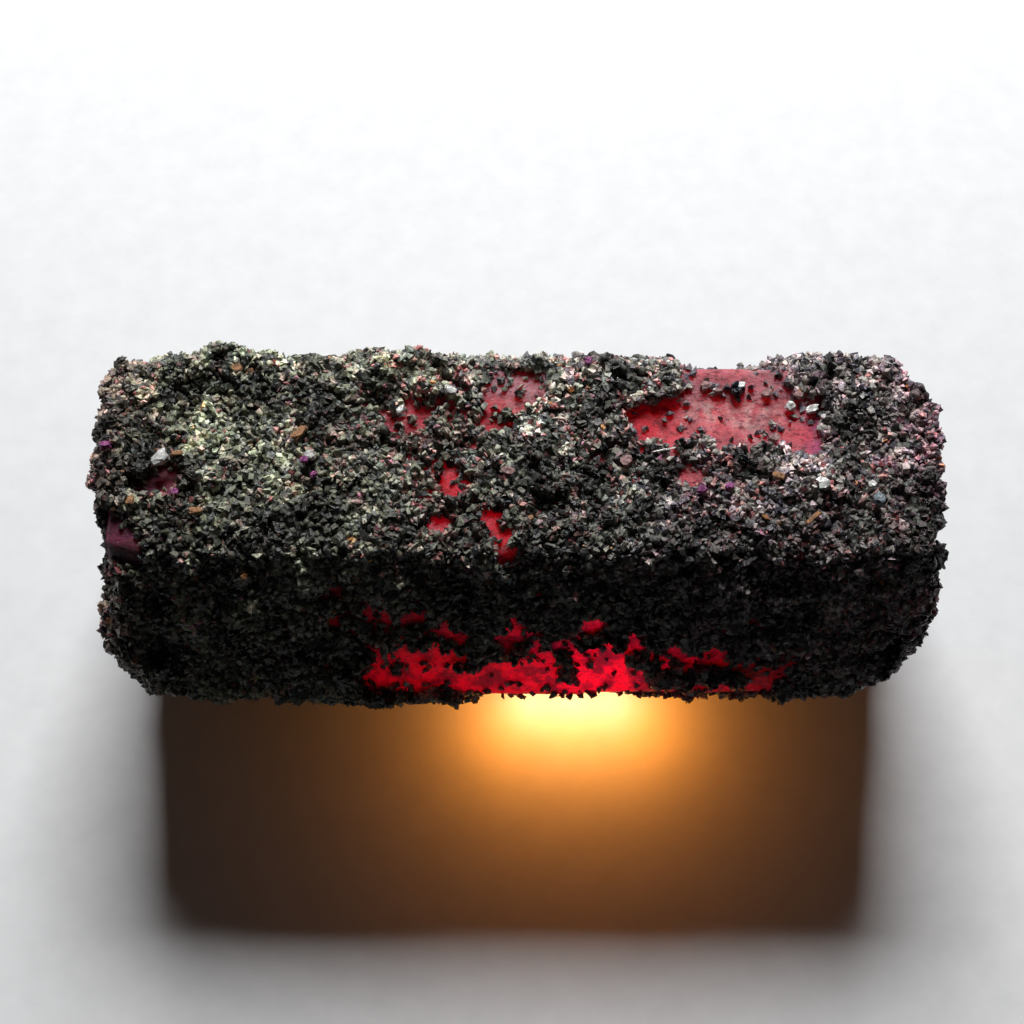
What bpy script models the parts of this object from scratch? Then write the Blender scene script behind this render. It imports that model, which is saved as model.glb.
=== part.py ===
"""Raw ruby crystal: a six-sided corundum barrel lying on a prism face, in a crust of mica schist.

ruby_crystal  the crystal: six flat prism faces, worn ends with a raised growth plate on each,
              a ledge along the back edge and low growth steps along its length
mica_crust    the schist that the crystal grew in and that still sticks to it: one lumpy layer
              all around, with windows through which the ruby shows

The long axis runs along X. Each prism face is named by where it looks; its normal stands at an
angle above the front, -Y. A place on a face is (x, v) in millimetres, where v runs across the
face from its middle: backwards on top, upwards on the front faces, downwards on the back ones.
"""

import math
import random

import bmesh
import bpy
from mathutils import Vector, noise

MM = 0.001

# Driving dimensions, in millimetres from the crystal's axis.
FACE_ANGLES = {"top": 90, "front_upper": 30, "front_lower": -30,
               "underside": -90, "back_lower": -150, "back_upper": 150}
RUBY_APOTHEMS = {"top": 10.25, "front_upper": 10.9, "front_lower": 10.5,
                 "underside": 10.5, "back_lower": 10.3, "back_upper": 10.2}
RUBY_ENDS = {"left": -25.6, "right": 25.7}
BARREL_FALL = {"top": 0.1, "front_upper": 0.15, "front_lower": 0.6,   # how much nearer to the
               "underside": 0.1, "back_lower": 0.3, "back_upper": 0.2}  # axis a face ends
RUBY_SHARPNESS = 150        # how sharply the prism faces meet at the ruby's corners
CORNER_SPAN = 1.5           # degrees to each side of a corner over which it is rounded off
LEDGE_FOOT = 3.7            # where the strip along the back edge of the top begins
LEDGE_HEIGHT = 0.2          # how far the strip stands over the rest of the top
LEDGE_SLOPE = 0.15          # how wide its rise is
TOP_SPAN = 31               # degrees to each side within which a point lies on the top face
GROWTH_STEPS = {-15.2: -0.12, -7.4: 0.10, 4.1: -0.10, 11.3: 0.12, 19.6: -0.10}
STEP_SLOPE = 0.1            # half the length over which a growth step rises
RUBY_END_STATIONS = (0.0, 0.3, 1.1, 2.6, 5.0)
PLATE_SHARE = 0.68          # raised plate on a basal face, as a share of the face
PLATE_HEIGHT = 0.2
PLATE_SLOPE = 0.03          # how much smaller the plate's rim is than its foot
PLATE_WIDENING = 0.2        # how much the share grows for each millimetre the body is grown
CRUST_DEPTH = 0.62          # usual depth of the crust over the ruby
CRUST_SHARPNESS = 60        # the same as the ruby's, for the crust
CRUST_LEAST = 0.45          # its least depth
ROOM = 0.2                  # clearance between the ruby and the crust's inner wall
SEAT = 11.08                # how high the axis lies over the surface that the crystal rests on

# Worn ends: over the last RUN millimetres each face falls by DROP towards the axis.
END_WEAR = {
    "left": {"top": (1.0, 2.4), "front_upper": (2.0, 4.5), "front_lower": (4.0, 6.5),
             "underside": (2.5, 4.0), "back_lower": (2.0, 4.0), "back_upper": (1.2, 3.0)},
    "right": {"top": (1.0, 2.4), "front_upper": (1.8, 4.2), "front_lower": (6.0, 8.0),
              "underside": (3.0, 5.0), "back_lower": (3.0, 4.5), "back_upper": (4.0, 5.0)},
}

# Lumps (height above 0) and pits (below 0) in the crust: face, x, v, height, spread.
LUMPS = [
    ("top", -18.4, 6.2, 1.6, 3.4),
    ("top", -6.8, 6.2, 0.8, 3.0),
    ("top", -14.0, 4.0, 0.45, 2.2),
    ("top", 5.0, 4.6, 0.20, 2.2),
    ("top", 22.0, 4.6, 0.65, 2.4),
    ("top", 3.6, 2.6, 0.30, 2.4),
    ("top", -21.0, 1.0, 0.30, 2.4),
    ("top", -17.5, -4.2, 0.35, 2.6),
    ("top", 1.0, -4.6, 0.30, 2.8),
    ("top", 12.5, -3.4, 0.35, 2.6),
    ("top", 20.6, -3.6, 0.35, 3.0),
    ("top", -10.5, 0.6, 0.25, 2.2),
    ("top", -18.2, 2.6, -0.40, 1.2),
    ("top", -13.4, 1.6, -0.35, 1.2),
    ("top", -7.5, -4.5, -0.30, 1.4),
    ("top", 8.0, -5.0, -0.25, 1.3),
    ("front_upper", -16.0, -0.6, 0.25, 2.6),
    ("front_upper", -4.0, 2.6, 0.30, 3.0),
    ("front_upper", 11.0, 2.8, 0.30, 3.0),
    ("front_upper", 20.5, -1.4, 0.25, 2.6),
    ("front_lower", -12.0, -2.0, 0.40, 2.8),
    ("front_lower", 16.5, 0.0, 0.50, 3.4),
    ("back_upper", -9.0, 1.0, 0.60, 3.4),
    ("back_upper", 19.5, 4.0, 0.40, 2.6),
    ("back_lower", -17.5, -1.5, 0.55, 3.2),
    ("back_lower", 7.0, 1.0, 0.60, 3.6),
    ("underside", -19.0, -4.0, 0.50, 3.4),
    ("underside", -18.0, 4.4, 0.50, 3.2),
    ("underside", 18.5, 4.0, 0.50, 3.4),
    ("underside", 19.0, -4.2, 0.50, 3.2),
    ("underside", 2.0, 4.6, 0.45, 3.0),
    ("underside", -3.5, -4.4, 0.45, 3.0),
]

# Windows in the crust: face, then the outline as (x, v).
WINDOWS = {
    "main": ("top", [(6.3, 2.7), (7.6, 3.3), (9.6, 3.5), (10.2, 4.3), (10.1, 8.0), (16.9, 8.0),
                     (16.5, 4.9), (17.6, 4.0), (19.1, 3.2), (18.7, 1.8), (18.9, 0.2),
                     (18.3, -0.9), (17.0, -0.6), (15.4, 0.1), (14.1, 0.8), (11.9, 0.6),
                     (10.6, 1.1), (8.8, 0.1), (7.5, 0.6)]),
    "main_back": ("back_upper", [(10.3, -8.0), (16.7, -8.0), (17.6, -4.6), (17.0, -1.0),
                                 (17.8, 2.6), (16.2, 5.0), (12.4, 4.2), (10.6, 5.2),
                                 (9.6, 1.2), (10.6, -2.0), (9.6, -5.0)]),
    "middle": ("top", [(-2.7, 3.3), (-1.6, 4.8), (-0.6, 5.8), (2.0, 5.8), (1.7, 4.9),
                       (2.4, 4.0), (1.1, 2.6), (-0.1, 2.5), (-1.2, 3.2)]),
    "middle_chink": ("top", [(-2.5, 2.5), (-0.8, 2.0), (0.3, 1.8), (-0.4, 1.2), (-1.9, 1.3)]),
    "chink_west": ("top", [(-4.4, -0.9), (-3.4, -1.6), (-2.8, -2.5), (-3.8, -3.3), (-4.9, -3.1)]),
    "chink_low": ("top", [(-5.4, -4.4), (-3.9, -4.6), (-3.8, -5.3), (-4.9, -5.6)]),
    "ridge_slot": ("top", [(-2.0, -4.0), (-1.3, -4.2), (-0.1, -8.1), (-1.35, -8.1)]),
    "ridge_slot_front": ("front_upper", [(-1.2, 7.6), (-0.25, 7.6), (-0.35, 4.5), (-0.9, 4.9)]),
    "left_hollow": ("top", [(-24.0, -1.7), (-22.9, -2.3), (-22.2, -1.2), (-21.1, -0.9),
                            (-20.5, -1.4), (-20.9, -2.8), (-21.5, -3.5), (-23.6, -2.9)]),
    "left_corner": ("top", [(-30.0, -3.7), (-24.0, -3.8), (-23.4, -5.0), (-21.9, -8.1),
                            (-30.0, -8.1)]),
    "left_corner_front": ("front_upper", [(-30.0, 7.6), (-22.1, 7.6), (-22.7, 5.2),
                                          (-23.9, 4.4), (-30.0, 3.2)]),
    "dim_west": ("front_upper", [(-12.6, 2.5), (-10.4, 2.8), (-10.2, 2.0), (-11.9, 1.6)]),
    "west_spot": ("front_upper", [(-4.5, -1.2), (-4.0, -0.7), (-3.2, -1.0), (-3.3, -1.7)]),
    "middle_spot": ("front_upper", [(-1.6, -0.6), (-1.1, -0.1), (-0.4, 0.0), (0.1, -0.8),
                                    (-0.4, -1.5), (-0.9, -1.8)]),
    "east_spot": ("front_upper", [(4.1, -0.8), (4.3, -0.3), (5.1, -0.1), (5.3, -0.8)]),
    "glow": ("front_upper", [(-9.9, -4.6), (-9.5, -3.3), (-7.5, -2.7), (-6.1, -2.5), (-5.2, -1.6),
                             (-4.4, -2.5), (-4.0, -3.4), (-2.4, -3.5), (-1.1, -2.6), (1.5, -3.1),
                             (2.1, -2.2), (2.9, -4.8), (3.7, -4.7), (3.1, -2.6), (3.3, -1.8),
                             (6.2, -2.4), (7.7, -1.5), (8.1, -2.2), (6.7, -2.8), (7.8, -3.4),
                             (8.8, -5.5), (11.0, -5.2), (12.5, -4.8), (14.0, -5.4),
                             (15.8, -5.6), (16.4, -8.0), (-3.0, -8.0), (-3.6, -5.6),
                             (-9.2, -5.2)]),
    "glow_east": ("front_upper", [(9.0, -1.8), (9.6, -1.6), (10.4, -2.5), (12.4, -2.7),
                                  (12.2, -3.4), (10.5, -3.2), (9.1, -2.3)]),
    "glow_below": ("front_lower", [(-3.3, 7.8), (16.1, 7.8), (15.8, 4.7), (13.2, 3.0), (9.4, 3.6),
                                   (6.0, 1.6), (1.8, 1.0), (-1.2, 2.4), (-3.6, 4.6)]),
    "back_high": ("back_upper", [(-17.4, -1.2), (-14.6, -2.4), (-12.6, -0.8), (-13.4, 2.2),
                                 (-16.2, 3.0), (-18.2, 1.2)]),
    "back_small": ("back_upper", [(2.2, 0.6), (4.6, -0.2), (5.4, 1.8), (3.4, 3.2)]),
    "back_low": ("back_lower", [(-8.0, -2.4), (-3.2, -3.2), (0.4, -1.6), (-0.8, 1.4),
                                (-4.6, 2.6), (-8.8, 0.8)]),
    "back_low_right": ("back_lower", [(15.0, -2.8), (18.4, -2.2), (19.2, 0.8), (16.2, 1.6)]),
    "underside_middle": ("underside", [(6.8, -2.2), (10.6, -2.8), (12.0, 0.2), (9.4, 2.4),
                                       (6.2, 1.0)]),
    "underside_left": ("underside", [(-11.8, 0.4), (-9.0, -0.6), (-8.2, 1.8), (-10.6, 2.8)]),
}
# Windows in the crust's ends: end, then the outline as (y, z).
END_WINDOWS = {
    "left_basal": ("left", [(-3.8, 3.2), (-0.6, 4.8), (3.4, 3.6), (4.6, 0.2), (2.2, -3.0),
                            (-1.8, -2.6), (-4.6, -0.4)]),
    "right_basal": ("right", [(-2.0, 2.4), (1.6, 3.8), (3.2, 1.4), (1.4, -1.6), (-1.4, -1.0)]),
}
WINDOW_SPAN = (-1.0, 5.0)   # a window's cutter reaches from below to above the ruby's surface

# The crust's surface and its sections.
SEED = 20
LUMP_FALL = 1.6                       # how steeply a lump falls off towards its spread
SWELLS = ((5.2, 0.22), (2.1, 0.62))   # wavelength and strength of its swells
ROUGH = (-0.12, 0.26)                 # how far single points stand below and above them
PER_FACE = 8                          # points across each face of one section
STATION = 1.1                         # distance between sections
STRAY = 0.3                           # how far a point strays, as a share of its spacing
FIRM_END = 1.0                        # how far from an end the sections stay flat
END_STATIONS = (0.0, 0.12, 0.4, 0.8, 1.4, 2.1, 3.0, 4.0)
CAP_SHARES = (0.86, 0.68, 0.48, 0.24)
CAP_BULGE = 0.25                      # how far an end stands out at its middle
CAP_SWELL = 1.3                       # how strong the swells are on the ends


def side_vectors(face):
    """The outward normal of a prism face and the direction across it."""
    angle = math.radians(FACE_ANGLES[face])
    normal = Vector((0.0, -math.cos(angle), math.sin(angle)))
    across = Vector((0.0, math.sin(angle), math.cos(angle)))
    return normal, across


def on_face(face, x, v, depth=0.0):
    """The point (x, v) of a prism face, raised by depth."""
    normal, across = side_vectors(face)
    return Vector((x, 0.0, 0.0)) + normal * (RUBY_APOTHEMS[face] + depth) + across * v


def end_of(x):
    return "left" if x < 0 else "right"


def worn_apothem(face, x, grow):
    """Distance of a face from the axis at x, for a body that is GROW larger than the ruby."""
    end = end_of(x)
    run, drop = END_WEAR[end][face]
    into_end = abs(x) - (abs(RUBY_ENDS[end]) + grow - run)
    worn = min(max(into_end / run, 0.0), 1.0)
    fall = BARREL_FALL[face] * (x / RUBY_ENDS[end]) ** 2
    return RUBY_APOTHEMS[face] + grow - fall - drop * (1 - math.sqrt(1 - worn ** 2))


def reach(x, angle, grow, sharpness):
    """Distance from the axis to the surface of the six-sided prism; corners round off a little."""
    total = 0.0
    for face, face_angle in FACE_ANGLES.items():
        lean = math.cos(angle - math.radians(face_angle))
        if lean > 0:
            total += (lean / worn_apothem(face, x, grow)) ** sharpness
    return total ** (-1 / sharpness)


def at_angle(x, angle, distance):
    return Vector((x, -math.cos(angle) * distance, math.sin(angle) * distance))


def closed_object(name, body):
    """An object from a finished bmesh, as triangles that face outwards."""
    bmesh.ops.triangulate(body, faces=body.faces)
    bmesh.ops.recalc_face_normals(body, faces=body.faces)
    mesh = bpy.data.meshes.new(name)
    body.to_mesh(mesh)
    body.free()
    thing = bpy.data.objects.new(name, mesh)
    bpy.context.collection.objects.link(thing)
    return thing


def closed_loft(name, rings, left_pole, right_pole):
    """One closed body from rings of points, closed at both ends to a pole."""
    body = bmesh.new()
    loops = [[body.verts.new(point * MM) for point in ring] for ring in rings]
    around = len(loops[0])
    for low, high in zip(loops, loops[1:]):
        for i in range(around):
            j = (i + 1) % around
            body.faces.new((low[i], low[j], high[j], high[i]))
    for loop, pole in ((loops[0], left_pole), (loops[-1], right_pole)):
        tip = body.verts.new(pole * MM)
        for i in range(around):
            body.faces.new((loop[i], loop[(i + 1) % around], tip))
    return closed_object(name, body)


def corner_angles():
    """Angles of the six corners, each between a face and the next one 60 degrees on."""
    faces = sorted(FACE_ANGLES, key=FACE_ANGLES.get)
    corners = []
    for face, following in zip(faces, faces[1:] + faces[:1]):
        near, far = RUBY_APOTHEMS[face], RUBY_APOTHEMS[following]
        v = (far - near * math.cos(math.radians(60))) / math.sin(math.radians(60))
        corners.append(math.radians(FACE_ANGLES[face]) + math.atan2(v, near))
    return corners


def prism_angles():
    """Angles of the ruby's points: three round each corner, and two at the foot of the ledge."""
    angles = []
    for corner in corner_angles():
        angles += [corner + math.radians(turn) for turn in (-CORNER_SPAN, 0.0, CORNER_SPAN)]
    for v in (LEDGE_FOOT, LEDGE_FOOT + LEDGE_SLOPE):
        angles.append(math.radians(FACE_ANGLES["top"]) + math.atan2(v, RUBY_APOTHEMS["top"]))
    return sorted(angles)


def ruby_stations(grow):
    """Sections of the ruby: chamfered towards the ends, a close pair at each growth step."""
    stations = []
    for x in GROWTH_STEPS:
        stations += [x - STEP_SLOPE, x + STEP_SLOPE]
    for end in RUBY_ENDS.values():
        side = math.copysign(1, end)
        stations += [end + side * (grow - run) for run in RUBY_END_STATIONS]
    return sorted(stations)


def growth(x):
    """Height of the prism faces at x over their mean, from the growth steps passed so far."""
    return sum(height for place, height in GROWTH_STEPS.items() if x > place)


def below_ledge(angle):
    """Whether a point at this angle lies on the top face, in front of the ledge."""
    from_top = angle - math.radians(FACE_ANGLES["top"])
    v = RUBY_APOTHEMS["top"] * math.tan(from_top)
    return abs(from_top) < math.radians(TOP_SPAN) and v < LEDGE_FOOT + LEDGE_SLOPE / 2


def ruby_body(name, grow, detailed):
    """The ruby's own prism, or the plain room for it when it isn't detailed."""
    rings = []
    for x in ruby_stations(grow):
        ring = []
        for angle in prism_angles():
            distance = reach(x, angle, grow, RUBY_SHARPNESS)
            if detailed:
                distance += growth(x)
            if detailed and below_ledge(angle):
                distance -= LEDGE_HEIGHT
            ring.append(at_angle(x, angle, distance))
        rings.append(ring)
    poles = []
    share = PLATE_SHARE + grow * PLATE_WIDENING
    for end in (0, -1):
        centre = sum(rings[end], Vector()) / len(rings[end])
        out = Vector((-PLATE_HEIGHT if end == 0 else PLATE_HEIGHT, 0.0, 0.0))
        foot = [centre.lerp(point, share) for point in rings[end]]
        rim = [centre.lerp(point, share - PLATE_SLOPE) + out for point in rings[end]]
        rings = [rim, foot] + rings if end == 0 else rings + [foot, rim]
        poles.append(centre + out)
    return closed_loft(name, rings, *poles)


def swell(place):
    return sum(strength * noise.noise(place / wave) for wave, strength in SWELLS)


def crust_depth(place, rough):
    """Depth of the crust at a place on it: swells, lumps and pits, and the rough of its grain."""
    depth = CRUST_DEPTH + swell(place) + rough.uniform(*ROUGH)
    for face, x, v, height, spread in LUMPS:
        away = (place - on_face(face, x, v)).length / spread
        depth += height * math.exp(-LUMP_FALL * away ** 2)
    return max(depth, CRUST_LEAST)


def crust_body(name):
    """The crust before it is hollowed: a lumpy prism with flattened feet on the seat plane."""
    rough = random.Random(SEED)
    ends = [RUBY_ENDS["left"] - CRUST_DEPTH, RUBY_ENDS["right"] + CRUST_DEPTH]
    stations = [ends[0] + run for run in END_STATIONS] + [ends[1] - run for run in END_STATIONS]
    first = ends[0] + END_STATIONS[-1] + STATION
    last = ends[1] - END_STATIONS[-1]
    count = round((last - first) / STATION)
    stations += [first + (last - first) * i / count for i in range(count)]
    corners = corner_angles()
    rings = []
    for x in sorted(stations):
        ring = []
        loose = min(abs(x - end) for end in ends) > FIRM_END
        for corner, following in zip(corners, corners[1:] + [corners[0] + 2 * math.pi]):
            for i in range(PER_FACE):
                shift = rough.uniform(-STRAY, STRAY) if i else 0.0
                angle = corner + (following - corner) * (i + shift) / PER_FACE
                along = x + (rough.uniform(-STRAY, STRAY) * STATION if loose else 0.0)
                base = reach(along, angle, CRUST_DEPTH, CRUST_SHARPNESS)
                depth = crust_depth(at_angle(along, angle, base), rough)
                ring.append(at_angle(along, angle, base + depth - CRUST_DEPTH))
        rings.append(ring)
    poles = []
    for end in (0, -1):
        edge = rings[end]
        centre = sum(edge, Vector()) / len(edge)
        side = -1 if end == 0 else 1
        caps = []
        for share in CAP_SHARES:
            cap = [centre.lerp(point, share) for point in edge]
            for place in cap:
                place.x += side * max(CAP_BULGE + CAP_SWELL * swell(place) * share, 0.0)
            caps.append(cap)
        rings = caps[::-1] + rings if end == 0 else rings + caps
        poles.append(centre + Vector((side * CAP_BULGE, 0.0, 0.0)))
    for ring in rings:
        for point in ring:
            point.z = max(point.z, -SEAT)
    return closed_loft(name, rings, *poles)


def prism_between(name, low, high):
    """A closed prism between two outlines, shown only as a guide."""
    body = bmesh.new()
    floor = [body.verts.new(point * MM) for point in low]
    lid = [body.verts.new(point * MM) for point in high]
    count = len(floor)
    body.faces.new(floor)
    body.faces.new(lid)
    for i in range(count):
        j = (i + 1) % count
        body.faces.new((floor[i], floor[j], lid[j], lid[i]))
    return closed_object(name, body)


def window_cutters():
    """One cutter for each window, square to the face that it opens."""
    cutters = []
    below, above = WINDOW_SPAN
    for name, (face, outline) in WINDOWS.items():
        low = [on_face(face, x, v, below) for x, v in outline]
        high = [on_face(face, x, v, above) for x, v in outline]
        cutters.append(prism_between("window_" + name, low, high))
    for name, (end, outline) in END_WINDOWS.items():
        side = -1 if end == "left" else 1
        inner = RUBY_ENDS[end] + side * below
        outer = RUBY_ENDS[end] + side * above
        low = [Vector((inner, y, z)) for y, z in outline]
        high = [Vector((outer, y, z)) for y, z in outline]
        cutters.append(prism_between("window_" + name, low, high))
    return cutters


def cut(thing, cutter):
    cutter.hide_render = True
    cutter.display_type = "WIRE"
    boolean = thing.modifiers.new(cutter.name, "BOOLEAN")
    boolean.operation = "DIFFERENCE"
    boolean.object = cutter


def material(name, colour, roughness, coat=0.0):
    paint = bpy.data.materials.new(name)
    paint.use_nodes = True
    shader = paint.node_tree.nodes["Principled BSDF"]
    shader.inputs["Base Color"].default_value = (*colour, 1.0)
    shader.inputs["Roughness"].default_value = roughness
    shader.inputs["Metallic"].default_value = 0.0
    shader.inputs["Coat Weight"].default_value = coat
    return paint


def lowest_middle(thing):
    """Centre of the underside of an object's bounding box, after its modifiers."""
    bpy.context.view_layer.update()
    evaluated = thing.evaluated_get(bpy.context.evaluated_depsgraph_get())
    points = [vertex.co for vertex in evaluated.data.vertices]
    spans = [(min(p[i] for p in points), max(p[i] for p in points)) for i in range(3)]
    return Vector(((spans[0][0] + spans[0][1]) / 2, (spans[1][0] + spans[1][1]) / 2, spans[2][0]))


for old in list(bpy.data.objects):
    bpy.data.objects.remove(old, do_unlink=True)

ruby = ruby_body("ruby_crystal", 0.0, True)
ruby.data.materials.append(material("ruby", (0.42, 0.02, 0.05), 0.42, 0.1))

crust = crust_body("mica_crust")
crust.data.materials.append(material("mica_schist", (0.045, 0.05, 0.048), 0.7))
room = ruby_body("room_for_the_ruby", ROOM, False)
guides = [room] + window_cutters()
for guide in guides:
    cut(crust, guide)

# Both pieces hang on one empty, which puts the middle of the seat at the origin.
axis = bpy.data.objects.new("crystal_axis", None)
bpy.context.collection.objects.link(axis)
seat = lowest_middle(crust)
for thing in [ruby, crust] + guides:
    thing.parent = axis
axis.location = -seat
bpy.context.view_layer.update()
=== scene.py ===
import math
import random

import bmesh
import bpy
import numpy as np
from mathutils import Euler, Matrix, Vector, noise
from mathutils.bvhtree import BVHTree


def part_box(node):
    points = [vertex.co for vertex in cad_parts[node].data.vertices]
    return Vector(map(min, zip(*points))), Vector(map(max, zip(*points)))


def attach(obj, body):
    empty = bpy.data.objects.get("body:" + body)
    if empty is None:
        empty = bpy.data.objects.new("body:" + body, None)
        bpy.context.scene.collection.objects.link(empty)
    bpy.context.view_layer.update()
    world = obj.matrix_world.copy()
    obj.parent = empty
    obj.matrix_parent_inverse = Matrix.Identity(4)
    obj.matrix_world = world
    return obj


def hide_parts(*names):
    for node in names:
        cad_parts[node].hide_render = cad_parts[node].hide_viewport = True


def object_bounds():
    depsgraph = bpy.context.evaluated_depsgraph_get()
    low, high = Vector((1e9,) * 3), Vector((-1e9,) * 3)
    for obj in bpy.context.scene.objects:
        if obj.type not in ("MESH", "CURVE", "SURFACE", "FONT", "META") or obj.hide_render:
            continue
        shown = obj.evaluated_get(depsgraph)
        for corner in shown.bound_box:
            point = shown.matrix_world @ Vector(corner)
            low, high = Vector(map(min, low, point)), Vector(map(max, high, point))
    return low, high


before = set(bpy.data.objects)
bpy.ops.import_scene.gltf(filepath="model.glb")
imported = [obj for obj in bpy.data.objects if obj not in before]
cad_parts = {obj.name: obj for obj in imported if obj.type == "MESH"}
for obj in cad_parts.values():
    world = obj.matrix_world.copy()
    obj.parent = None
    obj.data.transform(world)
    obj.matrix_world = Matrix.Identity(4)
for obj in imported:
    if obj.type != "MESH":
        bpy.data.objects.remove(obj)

cad_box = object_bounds()
MM = 0.001


# ==== The ruby crystal ====
# One barrel of corundum with six prism faces, lying on one of them. It grew as a single piece,
# and carries growth lines across its length, etch pits, and a dusty bloom where it is bare on top.

FACE_ANGLES = {"top": 90, "front_upper": 30, "front_lower": -30,
               "underside": -90, "back_lower": -150, "back_upper": 150}
FACE_APOTHEMS = {"top": 10.25, "front_upper": 10.9, "front_lower": 10.5,
                 "underside": 10.5, "back_lower": 10.3, "back_upper": 10.2}
AXIS_FROM_CORNER = Vector((25.8, 12.267, 10.479))  # the long axis, from the ruby's lowest corner
RUBY_VOXEL = 0.3            # how fine its even mesh is
LEDGE_FOOT = 3.7            # where the strip along the back edge of the top begins
DEEP_RED = (0.88, 0.008, 0.035)
DUSTY_RED = (0.78, 0.17, 0.205)
BLOOM = (0.92, 0.52, 0.52)
LEDGE_MAUVE = (0.50, 0.19, 0.23)
# The ruby's purple at its ends, in two painted brightnesses: darker on the top corners that get the
# light (painted shade), brighter on the end faces that get little (painted light).
CORNER_PURPLE_PAINTED_DARK = (0.15, 0.012, 0.050)
END_PURPLE_PAINTED_BRIGHT = (0.52, 0.035, 0.16)
MAGENTA = (0.55, 0.06, 0.28)
GRIT = (0.12, 0.024, 0.03)
PALE_FLECK = (0.62, 0.36, 0.36)
# Places on the bare ruby: face, x, v, reach. Clear ones have no dust, pale ones a thick bloom.
CLEAR_SPOTS = [("top", 7.8, 2.0, 2.2), ("top", -1.4, 2.0, 1.2), ("top", 1.2, 5.0, 0.9),
               ("top", -3.8, -3.0, 2.4), ("top", -1.2, -6.0, 3.0), ("top", -6.0, 0.0, 3.0)]
PALE_SPOTS = [("top", 11.6, 3.0, 1.3), ("top", 14.5, 2.4, 1.6), ("top", 0.4, 3.9, 1.1),
              ("top", -1.0, 4.6, 0.8), ("top", 15.5, 5.5, 1.2)]
MAGENTA_SPOTS = [("top", 18.4, 0.2, 0.8), ("top", 18.6, 1.8, 0.7), ("top", -20.9, -2.9, 0.7)]

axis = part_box("ruby_crystal")[0] + AXIS_FROM_CORNER * MM


def face_directions(face):
    """Outward normal of a prism face and the direction across it."""
    angle = math.radians(FACE_ANGLES[face])
    normal = Vector((0.0, -math.cos(angle), math.sin(angle)))
    across = Vector((0.0, math.sin(angle), math.cos(angle)))
    return normal, across


def on_face(face, x, v, lift=0.0):
    """A place on a prism face: x along the crystal, v across the face, both in millimetres."""
    normal, across = face_directions(face)
    return axis + (Vector((x, 0.0, 0.0)) + normal * (FACE_APOTHEMS[face] + lift) + across * v) * MM


def joined_copy(node):
    """A CAD node's triangles joined at their corners, as a new bmesh."""
    body = bmesh.new()
    body.from_mesh(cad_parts[node].data)
    bmesh.ops.remove_doubles(body, verts=body.verts, dist=0.001 * MM)
    return body


def piece_from(mesh, name):
    piece = bpy.data.objects.new(name, mesh)
    bpy.context.scene.collection.objects.link(piece)
    return piece


def applied(piece):
    """The piece's mesh as its modifiers leave it; the modifiers and the old mesh go."""
    depsgraph = bpy.context.evaluated_depsgraph_get()
    mesh = bpy.data.meshes.new_from_object(piece.evaluated_get(depsgraph), depsgraph=depsgraph)
    piece.modifiers.clear()
    old, piece.data = piece.data, mesh
    bpy.data.meshes.remove(old)
    mesh.name = piece.name
    return mesh


def keep_attribute(mesh, name, values):
    layer = mesh.attributes.new(name, "FLOAT", "POINT")
    layer.data.foreach_set("value", np.asarray(values, dtype=np.float32))


def near(place, spots):
    """1 at the nearest of some spots on the faces, falling to 0 over about its reach."""
    most = 0.0
    for face, x, v, reach in spots:
        away = (place - on_face(face, x, v)).length / (reach * MM)
        most = max(most, math.exp(-away ** 2))
    return most


def ruby_mesh():
    body = joined_copy("ruby_crystal")
    mesh = bpy.data.meshes.new("ruby_crystal_surface")
    body.to_mesh(mesh)
    body.free()
    piece = piece_from(mesh, "ruby_crystal_surface")
    remesh = piece.modifiers.new("Even mesh", "REMESH")
    remesh.mode = "VOXEL"
    remesh.voxel_size = RUBY_VOXEL * MM
    remesh.use_smooth_shade = True
    mesh = applied(piece)
    points = []
    looks = {"frost": [], "purple": [], "ledge": [], "pale": [], "magenta": [], "end": []}
    for vertex in mesh.vertices:
        place = (vertex.co - axis) / MM
        normal = vertex.normal
        pits = noise.noise(place * 1.4) + 0.5 * noise.noise(place * 2.9)
        relief = 0.04 * noise.noise(place * 0.4) - 0.10 * max(pits - 0.45, 0.0)
        points.extend(vertex.co + normal * relief * MM)
        upward = min(max((normal.z - 0.55) / 0.35, 0.0), 1.0)
        looks["frost"].append(upward * (1 - 0.85 * near(vertex.co, CLEAR_SPOTS)))
        # Masks for the purple ends, which are painted darker on the top corners and brighter on the
        # end faces.
        looks["purple"].append(min(max((abs(place.x) - 19.0) / 4.0, 0.0), 1.0))
        looks["end"].append(1.0 if abs(normal.x) > 0.7 else 0.0)
        looks["ledge"].append(1.0 if place.y > LEDGE_FOOT and normal.z > 0.3 else 0.0)
        looks["pale"].append(near(vertex.co, PALE_SPOTS))
        looks["magenta"].append(near(vertex.co, MAGENTA_SPOTS))
    mesh.vertices.foreach_set("co", points)
    mesh.update()
    for name, values in looks.items():
        keep_attribute(mesh, name, values)
    return piece


def feed(tree, socket, value):
    """Links a node's output to a socket, or sets the socket to a constant."""
    if isinstance(value, bpy.types.NodeSocket):
        tree.links.new(value, socket)
    else:
        socket.default_value = value


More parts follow.
